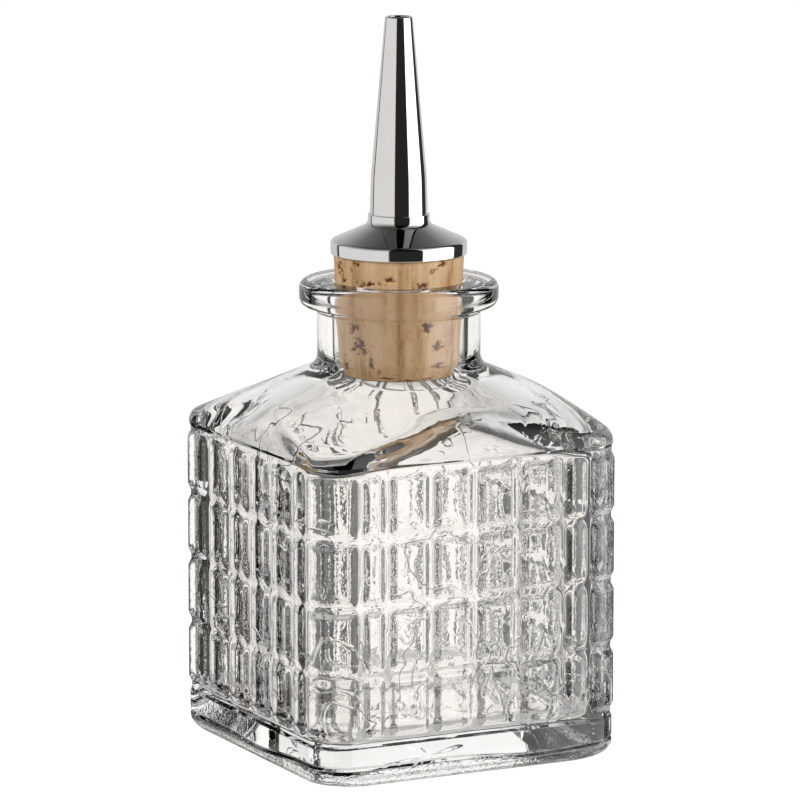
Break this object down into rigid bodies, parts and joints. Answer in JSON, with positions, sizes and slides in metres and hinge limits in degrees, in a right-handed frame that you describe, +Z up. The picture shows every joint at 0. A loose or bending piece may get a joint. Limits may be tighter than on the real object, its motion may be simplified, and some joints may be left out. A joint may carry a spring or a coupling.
{
  "type": "bitters bottle",
  "caption": "Square glass bitters bottle with raised panes, a conical shoulder and a ring lip, closed by a cork with a metal pouring spout that lifts out.",
  "frame": {"origin": "centre of the base, on the plane it stands on", "axes": "+Z up along the axis of the bottle and the spout; the four paned sides face +X, -X, +Y and -Y"},
  "size_m": [0.058, 0.058, 0.1263],
  "materials": {
    "glass": "clear, smooth, fire polished",
    "cork": "natural cork, matt, with brown pores",
    "polished_metal": "mirror polished",
    "plain_metal": "plain drawn tube"
  },
  "bodies": {
    "bottle": {"bottle": "glass"},
    "stopper": {"cork": "cork", "flange_cap": "polished_metal", "spout_cone": "polished_metal", "stem_tube": "plain_metal"}
  },
  "joints": [
    {"name": "stopper_lift", "type": "slide", "parent": "bottle", "child": "stopper", "axis": [0, 0, 1], "range_m": [0, 0.045]}
  ]
}
